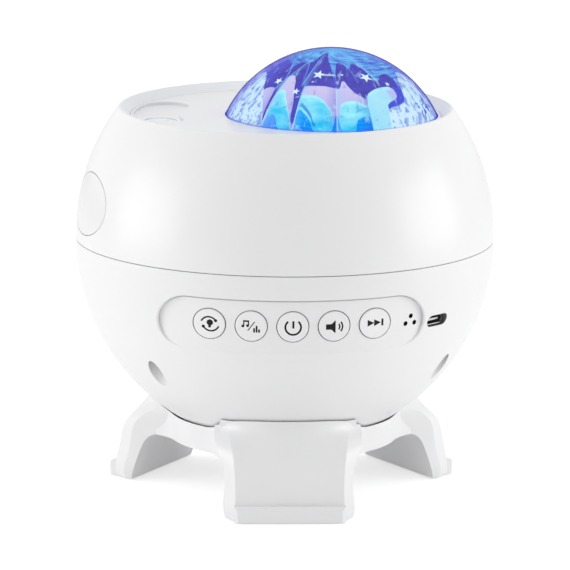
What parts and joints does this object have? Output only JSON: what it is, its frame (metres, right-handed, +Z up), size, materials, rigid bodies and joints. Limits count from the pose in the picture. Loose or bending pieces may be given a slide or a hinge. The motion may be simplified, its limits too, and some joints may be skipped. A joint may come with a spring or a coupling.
{
  "type": "northern lights projector",
  "caption": "Ball-shaped bedside light projector with a cut dome in its top deck, a row of round keys and a three-legged cup stand in which the ball turns and tilts.",
  "frame": {"origin": "on the table under the middle of the ball", "axes": "+Z up, -Y towards the front with the row of keys, +X to the right seen from the front"},
  "size_m": [0.15, 0.15, 0.1597],
  "materials": {
    "white_shell": "semi-gloss moulded",
    "badge_white": "polished moulded",
    "button_white": "semi-gloss with a printed dark grey symbol",
    "soft_grey": "matte silicone",
    "clear_dome": "clear cut crystal acrylic",
    "star_mask": "deep violet with open stars",
    "bezel_dark": "grey ring",
    "clear_window": "clear lens",
    "inner_plastic": "moulded",
    "circuit_board": "solder mask",
    "led_board": "white coated metal core board",
    "led_lens": "clear silicone over a light chip",
    "chip_black": "moulded",
    "light_pipe": "clear",
    "steel": "plain",
    "aluminium": "satin",
    "brass": "turned",
    "gear_plastic": "acetal",
    "clear_disc": "clear with moulded waves",
    "speaker_black": "black",
    "cone_paper": "pressed pulp",
    "magnet": "ferrite"
  },
  "bodies": {
    "stand": {"stand_frame": "white_shell", "foot_pads": "soft_grey"},
    "seat": {"seat_ring": "soft_grey"},
    "ball": {"lower_shell": "white_shell", "upper_shell": "white_shell", "side_badge": "badge_white", "shell_screws": "steel", "deck_plate": "white_shell", "dome_lens": "clear_dome", "star_mask": "star_mask", "laser_bezel": "bezel_dark", "laser_window": "clear_window", "button_guide": "inner_plastic", "main_board": "circuit_board", "board_chips": "chip_black", "key_switches": "chip_black", "board_screws": "steel", "usb_socket": "steel", "usb_board": "circuit_board", "microphone": "steel", "status_lights": "light_pipe", "light_housing": "inner_plastic", "heat_sink": "aluminium", "led_board": "led_board", "led_chips": "led_lens", "spindle_bush": "brass", "motor_bracket": "steel", "gear_motor": "steel", "laser_module": "brass", "laser_mount": "aluminium", "grating_motor": "steel", "speaker_frame": "speaker_black", "speaker_cone": "cone_paper", "speaker_magnet": "magnet"},
    "ripple_rotor": {"spindle": "steel", "ripple_plate": "clear_disc", "drive_gear": "gear_plastic"},
    "motor_rotor": {"pinion": "gear_plastic", "motor_shaft": "steel"},
    "grating_rotor": {"grating_disc": "clear_disc"},
    "light_key": {"button_light": "button_white"},
    "music_key": {"button_music": "button_white"},
    "power_key": {"button_power": "button_white"},
    "volume_key": {"button_volume": "button_white"},
    "next_key": {"button_next": "button_white"}
  },
  "joints": [
    {"name": "ball_swivel", "type": "hinge", "parent": "stand", "child": "seat", "pos_m": [0, 0, 0.0913], "axis": [0, 0, 1], "continuous": true},
    {"name": "ball_tilt", "type": "hinge", "parent": "seat", "child": "ball", "pos_m": [0, 0, 0.0913], "axis": [1, 0, 0], "range_deg": [-45, 45]},
    {"name": "ripple_spin", "type": "hinge", "parent": "ball", "child": "ripple_rotor", "pos_m": [0.0164, 0, 0.0913], "axis": [0, 0, 1], "continuous": true},
    {"name": "motor_spin", "type": "hinge", "parent": "ball", "child": "motor_rotor", "pos_m": [0.0004, 0, 0.0913], "axis": [0, 0, 1], "continuous": true},
    {"name": "grating_spin", "type": "hinge", "parent": "ball", "child": "grating_rotor", "pos_m": [-0.0376, -0.00917, 0.0913], "axis": [0, 0, 1], "continuous": true},
    {"name": "light_press", "type": "slide", "parent": "ball", "child": "light_key", "axis": [0, 1, 0], "range_m": [0, 0.0006], "stiffness_N_per_m": 1500},
    {"name": "music_press", "type": "slide", "parent": "ball", "child": "music_key", "axis": [0, 1, 0], "range_m": [0, 0.0006], "stiffness_N_per_m": 1500},
    {"name": "power_press", "type": "slide", "parent": "ball", "child": "power_key", "axis": [0, 1, 0], "range_m": [0, 0.0006], "stiffness_N_per_m": 1500},
    {"name": "volume_press", "type": "slide", "parent": "ball", "child": "volume_key", "axis": [0, 1, 0], "range_m": [0, 0.0006], "stiffness_N_per_m": 1500},
    {"name": "next_press", "type": "slide", "parent": "ball", "child": "next_key", "axis": [0, 1, 0], "range_m": [0, 0.0006], "stiffness_N_per_m": 1500}
  ],
  "couplings": [
    {"joint": "motor_spin", "follows": "ripple_spin", "ratio": -3}
  ]
}
